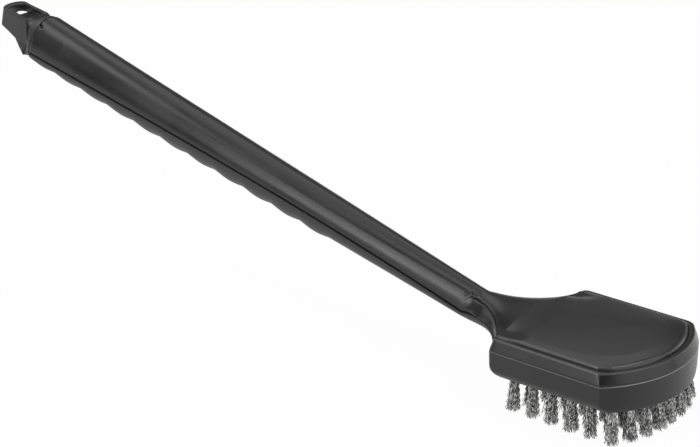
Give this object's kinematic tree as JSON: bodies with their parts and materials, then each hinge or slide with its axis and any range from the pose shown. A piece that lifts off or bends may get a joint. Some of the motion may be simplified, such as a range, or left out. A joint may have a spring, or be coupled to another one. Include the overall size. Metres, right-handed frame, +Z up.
{
  "type": "long-handled wire brush",
  "caption": "Long black plastic brush handle with a finger grip and a hang loop, widening into a domed head with a bowed front over a dense field of crimped steel wire tufts.",
  "frame": {"origin": "under the middle of the brush's box, on the plane of the bristle tips", "axes": "+X from the hang loop towards the bowed front of the head, +Z up from the bristle tips to the dome, +Y across the head to its far side; the sole is level and the handle rises towards -X"},
  "size_m": [0.5032, 0.0886, 0.1394],
  "materials": {
    "black_plastic": "satin black moulded polypropylene with a fine matte grain",
    "grip_plastic": "black moulded polypropylene, slightly duller on the finger grip",
    "bristle_wire": "crimped stainless wire, bright with dark gaps between the wires",
    "anchor_strip": "plain flat steel strip"
  },
  "bodies": {
    "root": {"upper_shell": "black_plastic", "lower_grip_shell": "grip_plastic", "hang_loop_end_plug": "black_plastic", "brush_block": "black_plastic", "wire_bristles_1": "bristle_wire", "wire_bristles_2": "bristle_wire", "wire_bristles_3": "bristle_wire", "wire_bristles_4": "bristle_wire", "tuft_anchor_01": "anchor_strip", "tuft_anchor_02": "anchor_strip", "tuft_anchor_03": "anchor_strip", "tuft_anchor_04": "anchor_strip", "tuft_anchor_05": "anchor_strip", "tuft_anchor_06": "anchor_strip", "tuft_anchor_07": "anchor_strip", "tuft_anchor_08": "anchor_strip", "tuft_anchor_09": "anchor_strip", "tuft_anchor_10": "anchor_strip", "tuft_anchor_11": "anchor_strip", "tuft_anchor_12": "anchor_strip", "tuft_anchor_13": "anchor_strip", "tuft_anchor_14": "anchor_strip", "tuft_anchor_15": "anchor_strip", "tuft_anchor_16": "anchor_strip", "tuft_anchor_17": "anchor_strip", "tuft_anchor_18": "anchor_strip", "tuft_anchor_19": "anchor_strip", "tuft_anchor_20": "anchor_strip", "tuft_anchor_21": "anchor_strip", "tuft_anchor_22": "anchor_strip", "tuft_anchor_23": "anchor_strip", "tuft_anchor_24": "anchor_strip", "tuft_anchor_25": "anchor_strip", "tuft_anchor_26": "anchor_strip", "tuft_anchor_27": "anchor_strip", "tuft_anchor_28": "anchor_strip", "tuft_anchor_29": "anchor_strip", "tuft_anchor_30": "anchor_strip", "tuft_anchor_31": "anchor_strip", "tuft_anchor_32": "anchor_strip", "tuft_anchor_33": "anchor_strip", "tuft_anchor_34": "anchor_strip", "tuft_anchor_35": "anchor_strip", "tuft_anchor_36": "anchor_strip", "tuft_anchor_37": "anchor_strip", "tuft_anchor_38": "anchor_strip", "tuft_anchor_39": "anchor_strip", "tuft_anchor_40": "anchor_strip", "tuft_anchor_41": "anchor_strip", "tuft_anchor_42": "anchor_strip", "tuft_anchor_43": "anchor_strip", "tuft_anchor_44": "anchor_strip", "tuft_anchor_45": "anchor_strip", "tuft_anchor_46": "anchor_strip", "tuft_anchor_47": "anchor_strip", "tuft_anchor_48": "anchor_strip"}
  },
  "joints": []
}
